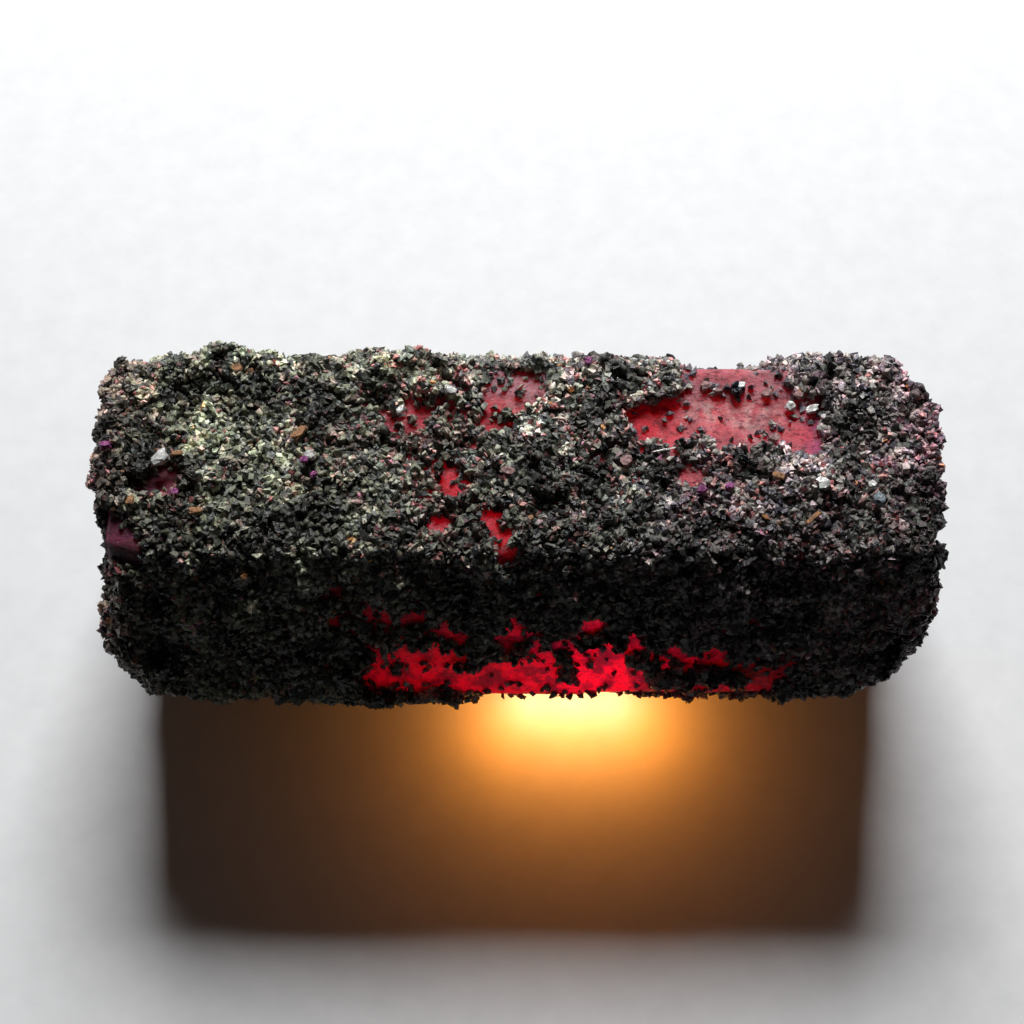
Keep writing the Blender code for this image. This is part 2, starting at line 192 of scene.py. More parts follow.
class Shader:
    """A material being put together: nodes are added by type, with their inputs given by name."""

    def __init__(self, name):
        self.material = bpy.data.materials.new(name)
        self.material.use_nodes = True
        self.tree = self.material.node_tree
        self.surface = self.tree.nodes["Principled BSDF"]
        self.output = self.tree.nodes["Material Output"]

    def node(self, kind, settings=None, **inputs):
        made = self.tree.nodes.new(kind)
        for name, value in (settings or {}).items():
            setattr(made, name, value)
        self.fill(made, inputs)
        return made

    def fill(self, made, inputs):
        for name, value in inputs.items():
            key = int(name[1:]) if name[0] == "i" and name[1:].isdigit() else name.replace("_", " ")
            feed(self.tree, made.inputs[key], value)

    def place(self):
        return self.node("ShaderNodeTexCoord").outputs["Object"]

    def attribute(self, name):
        return self.node("ShaderNodeAttribute", {"attribute_name": name}).outputs["Fac"]

    def noise(self, size, detail=3.0, roughness=0.5, vector=None):
        """Noise from 0 to 1 whose lumps are about size millimetres."""
        made = self.node("ShaderNodeTexNoise", Scale=1.0 / (size * MM), Detail=detail,
                         Roughness=roughness, Vector=vector or self.place())
        return made.outputs["Fac"]

    def ramp(self, value, stops):
        made = self.node("ShaderNodeValToRGB", Fac=value)
        ramp = made.color_ramp
        while len(ramp.elements) < len(stops):
            ramp.elements.new(1.0)
        for element, (position, colour) in zip(ramp.elements, stops):
            element.position = position
            element.color = (*colour, 1.0)
        return made.outputs["Color"]

    def greys(self, value, *stops):
        """A ramp of grey levels, each given as its position and level."""
        return self.ramp(value, [(position, (level,) * 3) for position, level in stops])

    def step(self, value, low, high):
        """0 below low, 1 above high, smooth between."""
        made = self.node("ShaderNodeMapRange", {"interpolation_type": "SMOOTHSTEP"},
                         Value=value, From_Min=low, From_Max=high)
        return made.outputs["Result"]

    def maths(self, operation, first, second=0.0):
        made = self.node("ShaderNodeMath", {"operation": operation}, i0=first, i1=second)
        return made.outputs[0]

    def mix(self, share, first, second, blend="MIX"):
        made = self.node("ShaderNodeMix", {"data_type": "RGBA", "blend_type": blend}, i0=share)
        for index, value in ((6, first), (7, second)):
            constant = not isinstance(value, bpy.types.NodeSocket)
            feed(self.tree, made.inputs[index], (*value, 1.0) if constant else value)
        return made.outputs[2]

    def times(self, first, second):
        return self.maths("MULTIPLY", first, second)

    def tinted(self, colour, tint, share=1.0):
        return self.mix(share, colour, tint, "MULTIPLY")

    def bump(self, height, distance, under=None):
        made = self.node("ShaderNodeBump", Height=height, Distance=distance * MM, Strength=1.0)
        if under is not None:
            self.tree.links.new(under, made.inputs["Normal"])
        return made.outputs["Normal"]


def ruby_material():
    ruby = Shader("ruby")
    frost = ruby.attribute("frost")
    stretched = ruby.node("ShaderNodeMapping", Vector=ruby.place(), Scale=(0.7, 1.0, 1.0))
    stretched = stretched.outputs["Vector"]
    patches = ruby.step(ruby.noise(2.4, 5.0, 0.65, stretched), 0.34, 0.6)
    dusty = ruby.times(frost, ruby.maths("ADD", ruby.times(patches, 0.4), 0.6))
    colour = ruby.mix(dusty, DEEP_RED, DUSTY_RED)
    bloom = ruby.times(ruby.step(ruby.noise(0.9, 6.0, 0.75, stretched), 0.54, 0.7), frost)
    pale = ruby.times(ruby.attribute("pale"), ruby.step(ruby.noise(0.8, 5.0), 0.35, 0.6))
    bloom = ruby.maths("MAXIMUM", ruby.times(bloom, 0.5), pale)
    colour = ruby.mix(bloom, colour, BLOOM)
    colour = ruby.mix(ruby.times(ruby.attribute("ledge"), 0.6), colour, LEDGE_MAUVE)
    colour = ruby.mix(ruby.times(ruby.attribute("magenta"), 0.6), colour, MAGENTA)
    # Purple ends: painted shade on the lit top corners, painted light on the end faces.
    colour = ruby.mix(ruby.attribute("purple"), colour, CORNER_PURPLE_PAINTED_DARK)
    colour = ruby.mix(ruby.attribute("end"), colour, END_PURPLE_PAINTED_BRIGHT)
    darkest = ruby.greys(frost, (0.0, 0.22), (0.8, 0.62))
    cloud = ruby.mix(ruby.step(ruby.noise(1.5, 6.0, 0.7), 0.38, 0.56), darkest, (1.0, 1.0, 1.0))
    colour = ruby.tinted(colour, cloud)
    grit = ruby.noise(0.34, 5.0, 0.8, stretched)
    dirt = ruby.times(ruby.step(grit, 0.51, 0.62), 0.72)
    colour = ruby.mix(dirt, colour, GRIT)
    flecks = ruby.step(ruby.noise(0.22, 2.0, 0.5), 0.70, 0.76)
    colour = ruby.mix(ruby.times(flecks, frost), colour, PALE_FLECK)
    normal = ruby.bump(ruby.noise(0.9, 4.0, 0.6), 0.22)
    normal = ruby.bump(grit, 0.34, under=normal)
    rough = ruby.times(ruby.attribute("purple"), 0.75)
    rough = ruby.maths("MAXIMUM", rough, ruby.greys(frost, (0.0, 0.42), (0.8, 0.68)))
    clearness = ruby.greys(frost, (0.0, 0.25), (0.7, 0.0))
    ruby.fill(ruby.surface, {
        "Base Color": colour, "Normal": normal, "Roughness": rough,
        "IOR": 1.77, "Specular IOR Level": 0.25,
        "Subsurface Weight": 0.7, "Subsurface Radius": (1.0, 0.05, 0.10),
        "Subsurface Scale": 3.0 * MM, "Transmission Weight": clearness,
    })
    inside = ruby.node("ShaderNodeVolumeAbsorption", Color=(0.97, 0.03, 0.22, 1.0), Density=1500.0)
    ruby.tree.links.new(inside.outputs["Volume"], ruby.output.inputs["Volume"])
    return ruby.material


ruby = ruby_mesh()
ruby.data.materials.clear()
ruby.data.materials.append(ruby_material())
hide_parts("ruby_crystal")
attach(ruby, "root")


# ==== The bed of the schist crust ====
# The schist that the crystal grew in: a thin layer of fused mineral grains that still sticks to
# it. This is the dark ground between the grains; where the layer is thin the ruby comes through.

BED_EDGE = 0.54             # longest edge of its mesh
FINE_EDGE = 0.40            # the same where small holes go through it
BED_SINK = 0.34             # how deep the ground lies under the tips of the grains
BED_RELIEF = 0.95           # how far it swells and dips about that
BED_ROOT = 0.60             # how deep it is rooted in the ruby
BARE_DIP = 0.35             # how deep it dips under the ruby's surface where that is bare
BED_RAG = 0.42              # how far its edges stray to make them ragged
INNER_WALL = 0.27           # nearer to the ruby than this is the inner wall
CLUMP_SIZE = 1.7            # how wide its clumps are
FACE_DEPTH = 2.5            # how deep a thin place reaches on a face
END_DEPTH = 6.0             # the same where it goes round one of the ends
END_FROM = 24               # how far from the middle those begin
SPLITS = 5                  # how often its long edges may be halved
FRONT_EDGE = (-6.3, 11.2)   # y and z of the long edge between the top and the upper front
EDGE_WEAR = 0.75            # how far that edge is worn down
EDGE_SPREAD = 1.9           # how far to each side of it
BED_EDGE_SEED = 11          # fixes how the ragged edges of the holes run
# Where the crust is thin: face, x, v, reach along and across, and how thin it is in the middle.
THIN_PLACES = [
    ("top", -2.2, 3.0, 3.4, 2.4, 0.88),
    ("top", -6.6, 2.2, 3.2, 2.4, 1.0),
    ("top", -5.0, -1.4, 3.0, 2.6, 0.72),
    ("top", 7.6, -0.2, 3.4, 1.0, 1.0),
    ("top", 13.0, 1.2, 5.6, 1.7, 1.2),
    ("front_upper", -8.6, 0.6, 4.6, 2.0, 0.9),
    ("front_upper", -6.5, -2.9, 5.0, 1.2, 1.0),
    ("front_upper", 3.0, -2.2, 6.5, 1.3, 1.0),
    ("front_upper", 11.4, -3.2, 4.6, 1.6, 1.1),
    ("top", -26.2, -6.3, 2.3, 2.6, 1.9),
    ("front_upper", -26.2, 4.5, 1.9, 3.6, 1.7),
    ("top", 26.4, -5.5, 1.4, 2.6, 1.5),
    ("front_upper", 26.4, 4.2, 1.4, 3.0, 1.5),
    ("back_upper", 13.6, 5.6, 4.2, 2.6, 1.6),
    ("back_upper", 8.0, -1.0, 4.0, 2.5, 1.0),
    ("back_lower", -4.0, 0.0, 6.0, 3.5, 1.0),
]
# Hollows in the crust, with a clump standing over each: face, x, v, reach.
# Their low height also gives the grains and bed there painted shade.
HOLLOWS = [("top", -20.3, 4.2, 1.3), ("top", -18.2, 3.6, 1.0), ("top", -15.7, 3.6, 1.3),
           ("top", -12.6, 1.9, 1.2), ("top", -23.0, -1.3, 1.2), ("top", -18.2, -0.6, 0.9),
           ("top", -14.6, -5.4, 1.1), ("top", -13.2, -4.6, 0.9), ("top", -20.3, -3.8, 0.9),
           ("top", 5.6, 3.4, 1.2), ("top", 3.9, 2.0, 0.9), ("top", 4.4, -1.6, 1.0),
           ("top", 8.4, -2.3, 0.8), ("top", 2.6, -3.5, 1.0), ("top", 11.9, -3.5, 0.8),
           ("top", 14.3, -1.5, 0.8), ("top", 19.3, -3.5, 1.0), ("top", 20.7, 2.0, 1.1),
           ("top", 1.2, -1.6, 0.9), ("top", -6.9, -0.3, 0.8)]
# Small holes through the crust: face, x, v, reach.
PINHOLES = [
    ("top", 10.6, -1.8, 0.85), ("top", 13.9, -3.3, 0.5), ("top", 15.6, -2.8, 0.5),
    ("top", -0.7, 3.1, 0.7), ("top", 0.3, 2.6, 0.6), ("top", -1.8, 1.9, 0.65),
    ("top", -2.7, 0.1, 0.6), ("top", -4.1, -1.1, 0.6), ("top", -3.6, -2.4, 0.55),
    ("top", -4.6, -3.2, 0.6), ("top", -4.3, -4.8, 0.75), ("top", -5.2, -5.0, 0.7),
    ("top", -1.8, -4.3, 0.65), ("top", -1.2, -5.2, 0.65), ("top", -0.9, -6.1, 0.55),
    ("top", -0.5, -6.9, 0.55), ("top", 7.5, 1.8, 0.7), ("top", 2.4, 3.2, 0.45),
    ("top", 9.2, 0.0, 0.6), ("top", 4.4, 0.3, 0.45), ("top", -1.6, 4.1, 0.7),
    ("top", -0.8, 4.8, 0.8), ("top", -3.8, 3.0, 0.6), ("top", -5.4, 3.7, 0.6),
    ("top", -7.5, 4.7, 0.5), ("top", -8.1, 0.3, 0.5), ("top", -10.2, 2.2, 0.45),
    ("top", -6.9, -0.4, 0.5), ("top", -9.6, -2.1, 0.45), ("top", -5.9, -1.4, 0.5),
    ("front_upper", -12.1, 1.7, 0.6), ("front_upper", -11.4, 2.5, 0.7),
    ("front_upper", -10.2, 2.1, 0.7), ("front_upper", -9.3, 1.1, 0.75),
    ("front_upper", -10.2, -0.9, 0.5), ("front_upper", -9.0, -2.0, 0.7),
    ("front_upper", -7.4, -2.8, 0.9), ("front_upper", -5.0, -1.8, 0.75),
    ("front_upper", -3.9, -0.8, 0.9), ("front_upper", -2.3, -0.9, 0.6),
    ("front_upper", -1.0, -1.1, 0.8), ("front_upper", -0.3, -0.5, 0.9),
    ("front_upper", 1.4, -0.8, 0.6), ("front_upper", 4.6, -0.4, 0.9),
    ("front_upper", 7.2, -1.0, 0.6), ("front_upper", 7.6, -1.7, 0.6),
    ("front_upper", 9.9, -0.3, 0.45), ("front_upper", 12.8, -0.4, 0.75),
    ("front_upper", 11.3, -2.0, 0.6), ("front_upper", 15.1, -2.6, 0.6),
    ("front_upper", 9.5, -2.1, 0.6), ("front_upper", 10.4, -2.7, 0.6),
    ("front_upper", 12.0, -2.9, 0.7), ("front_upper", 13.4, -3.3, 0.6),
    ("front_upper", 14.8, -4.4, 0.7), ("front_upper", 9.8, -5.9, 0.6),
    ("front_upper", 16.2, -3.9, 0.5), ("front_upper", -11.8, -3.4, 0.5),
]


thin_spots = [(on_face(face, x, v), *face_directions(face), along, across, strength)
              for face, x, v, along, across, strength in THIN_PLACES]
pinholes = [(on_face(face, x, v), reach * MM) for face, x, v, reach in PINHOLES]
bare_ruby = joined_copy("ruby_crystal")
ruby_skin = BVHTree.FromBMesh(bare_ruby)
bare_ruby.free()


def thinness(place):
    """How thin the crust is at a place: 0 where it is whole, 1 or more where it has worn away."""
    most = 0.0
    for middle, normal, sideways, along, across, strength in thin_spots:
        away = (place - middle) / MM
        depth = END_DEPTH if abs(place.x - axis.x) > END_FROM * MM else FACE_DEPTH
        if abs(away.dot(normal)) < depth:
            spread = (away.x / along) ** 2 + (away.dot(sideways) / across) ** 2
            most = max(most, strength * math.exp(-spread))
    return most


def pinhole(place):
    """1 in the middle of a small hole, 0 at its edge and beyond."""
    most = 0.0
    for middle, reach in pinholes:
        away = (place - middle).length / reach
        most = max(most, 1.6 - away)
    return min(most, 1.0)


def clumps(place):
    """How the crust stands at a place in millimetres: 1 on a clump, 0 in a gap between clumps."""
    first, second = noise.voronoi(place / CLUMP_SIZE)[0][:2]
    gap = min((second - first) * 1.8, 1.0)
    swells = 0.5 + 0.9 * noise.noise(place / 2.6) + 0.45 * noise.noise(place / 0.8)
    return min(max(0.5 * gap + 0.6 * swells, 0.0), 1.0)


def is_inner_wall(vertex, outwards, away):
    return away < INNER_WALL * MM and vertex.normal.dot(outwards) < 0.2


def bed_mesh():
    body = joined_copy("mica_crust")
    for _ in range(SPLITS):
        body.normal_update()
        body.verts.index_update()
        wall, limit = [], []
        for vertex in body.verts:
            _, outwards, _, away = ruby_skin.find_nearest(vertex.co)
            wall.append(is_inner_wall(vertex, outwards, away))
            fine = thinness(vertex.co) > 0.2 or pinhole(vertex.co) > 0.0
            limit.append((FINE_EDGE if fine else BED_EDGE) * MM)
        long = []
        for edge in body.edges:
            one, two = (vertex.index for vertex in edge.verts)
            if not (wall[one] and wall[two]) and edge.calc_length() > min(limit[one], limit[two]):
                long.append(edge)
        if not long:
            break
        bmesh.ops.subdivide_edges(body, edges=long, cuts=1)
        bmesh.ops.triangulate(body, faces=body.faces, quad_method="SHORT_EDGE")
    body.normal_update()
    cover, heights, points = [], [], []
    for vertex in body.verts:
        place = (vertex.co - axis) / MM
        heights.append(clumps(place) * (1 - near(vertex.co, HOLLOWS)))
        found, outwards, _, away = ruby_skin.find_nearest(vertex.co)
        if is_inner_wall(vertex, outwards, away):
            points.append(found - outwards * BED_ROOT * MM)
            cover.append(0.0)
            continue
        astray = noise.noise_vector(place / 0.9) + noise.noise_vector(place / 2.2)
        astray -= outwards * astray.dot(outwards)
        sunk = vertex.co + astray * BED_RAG * MM
        from_edge = math.hypot(place.y - FRONT_EDGE[0], place.z - FRONT_EDGE[1]) / EDGE_SPREAD
        worn = min(EDGE_WEAR * math.exp(-from_edge ** 2), max(away / MM - 0.7, 0.0))
        sunk -= vertex.normal * (BED_SINK + worn + BED_RELIEF * (0.5 - heights[-1])) * MM
        thin = thinness(vertex.co)
        patch = noise.noise(place * 1.3 + Vector((7.0, 0.0, 0.0))) + thin * 0.8
        bare = min(max((patch - 0.42) / 0.2, 0.0), 1.0) if thin > 0.12 else 0.0
        hole = pinhole(vertex.co) + 0.7 * noise.noise(place * 2.3)
        bare = max(bare, min(max(hole / 0.6, 0.0), 1.0))
        points.append(sunk.lerp(found - outwards * BARE_DIP * MM, bare))
        unseen = vertex.normal.y > 0.35 or vertex.normal.z < -0.8
        cover.append((1.0 - bare) * (0.7 if unseen else 1.0))
    for vertex, point in zip(body.verts, points):
        vertex.co = point
    mesh = bpy.data.meshes.new("schist_bed")
    body.to_mesh(mesh)
    body.free()
    keep_attribute(mesh, "cover", cover)
    keep_attribute(mesh, "height", heights)
    return mesh


def hold_in_box(mesh):
    """Keeps every point inside the CAD model's box, and so off the ground as well."""
    points = np.empty(len(mesh.vertices) * 3, dtype=np.float32)
    mesh.vertices.foreach_get("co", points)
    low, high = (np.array(corner, dtype=np.float32) for corner in cad_box)
    points = np.clip(points.reshape(-1, 3), low, high)
    mesh.vertices.foreach_set("co", points.ravel())
    mesh.update()


def bed_material():
    bed = Shader("mica_schist_bed")
    grain = bed.node("ShaderNodeTexVoronoi", {"feature": "F1"}, Vector=bed.place(),
                     Scale=1 / (0.42 * MM))
    tone = bed.node("ShaderNodeSeparateColor", Color=grain.outputs["Color"]).outputs[0]
    colour = bed.ramp(tone, [(0.0, (0.02, 0.022, 0.02)), (0.45, (0.09, 0.10, 0.085)),
                             (0.8, (0.18, 0.19, 0.155)), (1.0, (0.30, 0.30, 0.27))])
    # Painted shade: the bed is darkened in the gaps between clumps, by its height.
    colour = bed.tinted(colour, bed.greys(bed.attribute("height"), (0.1, 0.15), (0.7, 1.0)))
    normal = bed.bump(grain.outputs["Distance"], 0.2)
    normal = bed.bump(bed.noise(0.2, 3.0, 0.6), 0.06, under=normal)
    rough = bed.greys(tone, (0.0, 0.35), (1.0, 0.7))
    bed.fill(bed.surface, {"Base Color": colour, "Roughness": rough, "Normal": normal})
    return bed.material


noise.seed_set(BED_EDGE_SEED)
bed = piece_from(bed_mesh(), "schist_bed")
hold_in_box(bed.data)
bed.data.materials.append(bed_material())
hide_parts("mica_crust")
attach(bed, "root")


# ==== The mineral grains of the crust ====
# Loose-looking but fused grains, about half a millimetre across: dark hornblende blocks, biotite
# flakes, grey-green and clear grains of feldspar and quartz, and chips of ruby.

# Each shape is a mesh node with its settings; the grains' corners are then shaken.
GRAIN_SHAPES = {
    "block": ("GeometryNodeMeshCube", {"Size": (1.0, 1.0, 1.0)}),
    "crumb": ("GeometryNodeMeshUVSphere", {"Segments": 4, "Rings": 2, "Radius": 0.66}),
    "nugget": ("GeometryNodeMeshUVSphere", {"Segments": 5, "Rings": 3, "Radius": 0.58}),
    "flake": ("GeometryNodeMeshCylinder", {"Vertices": 5, "Radius": 0.58, "Depth": 1.0}),
}
SHAPE_SETTINGS = {"flake": {"fill_type": "TRIANGLE_FAN"}}
ROUNDED_SHAPES = ("nugget",)
UNEVENNESS = {"block": 0.45, "crumb": 0.42, "nugget": 0.42, "flake": 0.3}
SCATTER_INPUTS = {"Geometry": "Geometry", "Grains per Area": "Float", "Length": "Float",
                  "Thickness": "Float", "Unevenness": "Float", "Lowest": "Float",
                  "Highest": "Float", "Tilt": "Float", "Seed": "Int", "Cover": "String",
                  "Material": "Material"}


def scatter_tree(name, shape):
    """Scatters grains of one shape over a surface, thickest where its cover is 1."""
    tree = bpy.data.node_groups.new(name, "GeometryNodeTree")
    for label, kind in SCATTER_INPUTS.items():
        tree.interface.new_socket(label, in_out="INPUT", socket_type="NodeSocket" + kind)
    tree.interface.new_socket("Geometry", in_out="OUTPUT", socket_type="NodeSocketGeometry")

    def add(kind, settings=None, inputs=None):
        made = tree.nodes.new(kind)
        for key, value in (settings or {}).items():
            setattr(made, key, value)
        for key, value in (inputs or {}).items():
            feed(tree, made.inputs[key], value)
        return made

    def chance(kind, low, high, extra):
        seed = add("ShaderNodeMath", {"operation": "ADD"}, {0: sizes["Seed"], 1: float(extra)})
        made = add("FunctionNodeRandomValue", {"data_type": kind})
        index = {"FLOAT_VECTOR": (0, 1, 0), "FLOAT": (2, 3, 1)}[kind]
        for socket, value in zip(index, (low, high)):
            feed(tree, made.inputs[socket], value)
        tree.links.new(seed.outputs[0], made.inputs["Seed"])
        return made.outputs[index[2]]

    sizes = tree.nodes.new("NodeGroupInput").outputs
    cover = add("GeometryNodeInputNamedAttribute", {"data_type": "FLOAT"},
                {"Name": sizes["Cover"]})
    density = add("ShaderNodeMath", {"operation": "MULTIPLY"},
                  {0: sizes["Grains per Area"], 1: cover.outputs[0]})
    spots = add("GeometryNodeDistributePointsOnFaces", {"distribute_method": "RANDOM"},
                {"Mesh": sizes["Geometry"], "Density": density.outputs[0], "Seed": sizes["Seed"]})
    lift = add("ShaderNodeVectorMath", {"operation": "SCALE"}, {0: spots.outputs["Normal"]})
    tree.links.new(chance("FLOAT", sizes["Lowest"], sizes["Highest"], 11), lift.inputs["Scale"])
    raised = add("GeometryNodeSetPosition", None,
                 {"Geometry": spots.outputs["Points"], "Offset": lift.outputs[0]})
    lean = add("ShaderNodeVectorMath", {"operation": "SCALE"},
               {0: chance("FLOAT_VECTOR", (-1.0,) * 3, (1.0,) * 3, 23), "Scale": sizes["Tilt"]})
    lean = add("FunctionNodeEulerToRotation", None, {0: lean.outputs[0]})
    turn = add("FunctionNodeRotateRotation", {"rotation_space": "LOCAL"},
               {0: spots.outputs["Rotation"], 1: lean.outputs[0]})
    kind, measures = GRAIN_SHAPES[shape]
    shape_node = add(kind, SHAPE_SETTINGS.get(shape), measures)
    size = add("ShaderNodeCombineXYZ", None,
               {0: sizes["Length"], 1: sizes["Length"], 2: sizes["Thickness"]})
    spread = chance("FLOAT_VECTOR", (0.55, 0.5, 0.6), (1.35, 1.1, 1.4), 37)
    scale = add("ShaderNodeVectorMath", {"operation": "MULTIPLY"}, {0: size.outputs[0], 1: spread})
    grains = add("GeometryNodeInstanceOnPoints", None,
                 {"Points": raised.outputs[0], "Instance": shape_node.outputs["Mesh"],
                  "Rotation": turn.outputs[0], "Scale": scale.outputs[0]})
    toned = add("GeometryNodeStoreNamedAttribute", {"data_type": "FLOAT", "domain": "INSTANCE"},
                {"Geometry": grains.outputs[0], "Name": "tone",
                 "Value": chance("FLOAT", 0.0, 1.0, 41)})
    glossed = add("GeometryNodeStoreNamedAttribute", {"data_type": "FLOAT", "domain": "INSTANCE"},
                  {"Geometry": toned.outputs[0], "Name": "gloss",
                   "Value": chance("FLOAT", 0.0, 1.0, 53)})
    real = add("GeometryNodeRealizeInstances", None, {"Geometry": glossed.outputs[0]})
    place = add("GeometryNodeInputPosition")
    dice = add("ShaderNodeTexWhiteNoise", {"noise_dimensions": "3D"}, {"Vector": place.outputs[0]})
    centred = add("ShaderNodeVectorMath", {"operation": "SUBTRACT"},
                  {0: dice.outputs["Color"], 1: (0.5, 0.5, 0.5)})
    reach = add("ShaderNodeMath", {"operation": "MULTIPLY"},
                {0: sizes["Thickness"], 1: sizes["Unevenness"]})
    shift = add("ShaderNodeVectorMath", {"operation": "SCALE"},
                {0: centred.outputs[0], "Scale": reach.outputs[0]})
    uneven = add("GeometryNodeSetPosition", None,
                 {"Geometry": real.outputs[0], "Offset": shift.outputs[0]})
    shaded = add("GeometryNodeSetShadeSmooth", None,
                 {"Geometry": uneven.outputs[0], "Shade Smooth": shape in ROUNDED_SHAPES})
    painted = add("GeometryNodeSetMaterial", None,
                  {"Geometry": shaded.outputs[0], "Material": sizes["Material"]})
    output = tree.nodes.new("NodeGroupOutput")
    tree.links.new(painted.outputs[0], output.inputs[0])
    return tree


def covered_area(mesh, cover_name):
    """The mesh's area in square metres, counted by its cover."""
    mesh.calc_loop_triangles()
    corners = np.empty(len(mesh.loop_triangles) * 3, dtype=np.int64)
    areas = np.empty(len(mesh.loop_triangles), dtype=np.float32)
    cover = np.empty(len(mesh.vertices), dtype=np.float32)
    mesh.loop_triangles.foreach_get("vertices", corners)
    mesh.loop_triangles.foreach_get("area", areas)
    mesh.attributes[cover_name].data.foreach_get("value", cover)
    return float((areas * cover[corners].reshape(-1, 3).mean(1)).sum())


def square_for_each_facet(mesh):
    """A UV map in which every facet of every grain has a square of its own."""
    count = len(mesh.polygons)
    side = math.ceil(math.sqrt(count))
    starts = np.empty(count, dtype=np.int64)
    totals = np.empty(count, dtype=np.int64)
    mesh.polygons.foreach_get("loop_start", starts)
    mesh.polygons.foreach_get("loop_total", totals)
    facet = np.repeat(np.arange(count), totals)
    corner = np.arange(len(facet)) - np.repeat(starts, totals)
    turn = 2 * np.pi * (corner / np.repeat(totals, totals) + 0.125)
    across = (facet % side + 0.5 + 0.5 * np.cos(turn)) / side
    up = (facet // side + 0.5 + 0.5 * np.sin(turn)) / side
    layer = mesh.uv_layers.new(name="OFBake")
    layer.uv.foreach_set("vector", np.stack([across, up], 1).astype(np.float32).ravel())


def scatter(name, carrier, shape, count, material, seed, sizes, cover="cover"):
    """Grows about count grains on the carrier mesh and leaves them as one plain mesh."""
    holder = piece_from(carrier, name)
    grow = holder.modifiers.new("Grains", "NODES")
    grow.node_group = scatter_tree(name + "_scatter", shape)
    length, thickness, lowest, highest, tilt = sizes
    values = {"Grains per Area": count / covered_area(carrier, cover), "Seed": seed,
              "Material": material, "Cover": cover, "Length": length * MM,
              "Thickness": thickness * MM, "Lowest": lowest * MM, "Highest": highest * MM,
              "Tilt": tilt, "Unevenness": UNEVENNESS[shape]}
    for item in grow.node_group.interface.items_tree:
        if item.in_out == "INPUT" and item.name in values:
            grow[item.identifier] = values[item.name]
    depsgraph = bpy.context.evaluated_depsgraph_get()
    mesh = bpy.data.meshes.new_from_object(holder.evaluated_get(depsgraph), depsgraph=depsgraph)
    holder.modifiers.clear()
    holder.data = mesh
    mesh.name = name
    hold_in_box(mesh)
    square_for_each_facet(mesh)
    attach(holder, "root")


END_CAST = (0.92, 0.58, 0.72)  # the purplish cast of the grains at both ends


def mineral(name, stops, roughness, tint=1.0, own_tone=0.5):
    """A mineral whose grains differ a little and drift in hue, with painted shade in the gaps between
    clumps and painted light on the clump tops.
    """
    stone = Shader(name)
    patch = stone.step(stone.noise(0.8, 3.0, 0.6), 0.36, 0.64)
    tone = stone.mix(own_tone, patch, stone.attribute("tone"))
    colour = stone.ramp(tone, stops)
    # Painted shade and light: grains low in a gap are darkened, grains high on a clump are
    # brightened.
    gap = stone.greys(stone.attribute("height"), (0.1, 0.12), (0.34, 0.52), (0.6, 1.25), (0.9, 1.8))
    colour = stone.tinted(colour, gap)
    bands = stone.greys(stone.noise(2.8, 4.0, 0.6), (0.34, 0.56), (0.64, 1.68))
    colour = stone.tinted(colour, bands)
    along, across = stone.node("ShaderNodeSeparateXYZ", Vector=stone.place()).outputs[:2]
    # Painted light and shade across the top: the grains are painted paler towards the back and darker
    # towards the front edge, as the light falls off.
    forward = stone.maths("DIVIDE", stone.maths("SUBTRACT", axis.y + 7 * MM, across), 15 * MM)
    painted_light_falloff = stone.greys(forward, (0.1, 1.35), (0.55, 1.15), (0.80, 0.60), (0.90, 0.52), (1.0, 1.0))
    colour = stone.tinted(colour, painted_light_falloff)
    drift = stone.step(along, axis.x - 26 * MM, axis.x + 26 * MM)
    drift = stone.maths("ADD", drift, stone.times(stone.noise(5.0), 0.5))
    field = stone.ramp(drift, [(0.25, (1.02, 1.03, 0.86)), (0.6, (1.05, 1.0, 0.93)),
                               (0.9, (1.0, 0.96, 0.97)), (1.25, (1.06, 0.90, 1.02))])
    colour = stone.tinted(colour, field, tint)
    casts = stone.ramp(stone.noise(1.3, 3.0, 0.6), [(0.36, (0.90, 0.97, 1.08)), (0.46, (1.0,) * 3),
                                                    (0.54, (1.0,) * 3), (0.66, (1.20, 0.88, 1.02))])
    colour = stone.tinted(colour, casts, tint)
    from_middle = stone.maths("ABSOLUTE", stone.maths("SUBTRACT", along, axis.x))
    at_ends = stone.step(from_middle, 21.5 * MM, 26.5 * MM)
    colour = stone.tinted(colour, END_CAST, stone.times(at_ends, 0.8))
    veil = stone.noise(0.13, 4.0, 0.7)
    colour = stone.tinted(colour, stone.greys(veil, (0.32, 0.35), (0.68, 1.65)))
    low, high = roughness
    rough = stone.greys(stone.attribute("gloss"), (0.0, low), (1.0, high))
    stone.fill(stone.surface, {"Base Color": colour, "Roughness": rough,
                               "Normal": stone.bump(veil, 0.07)})
    return stone.material


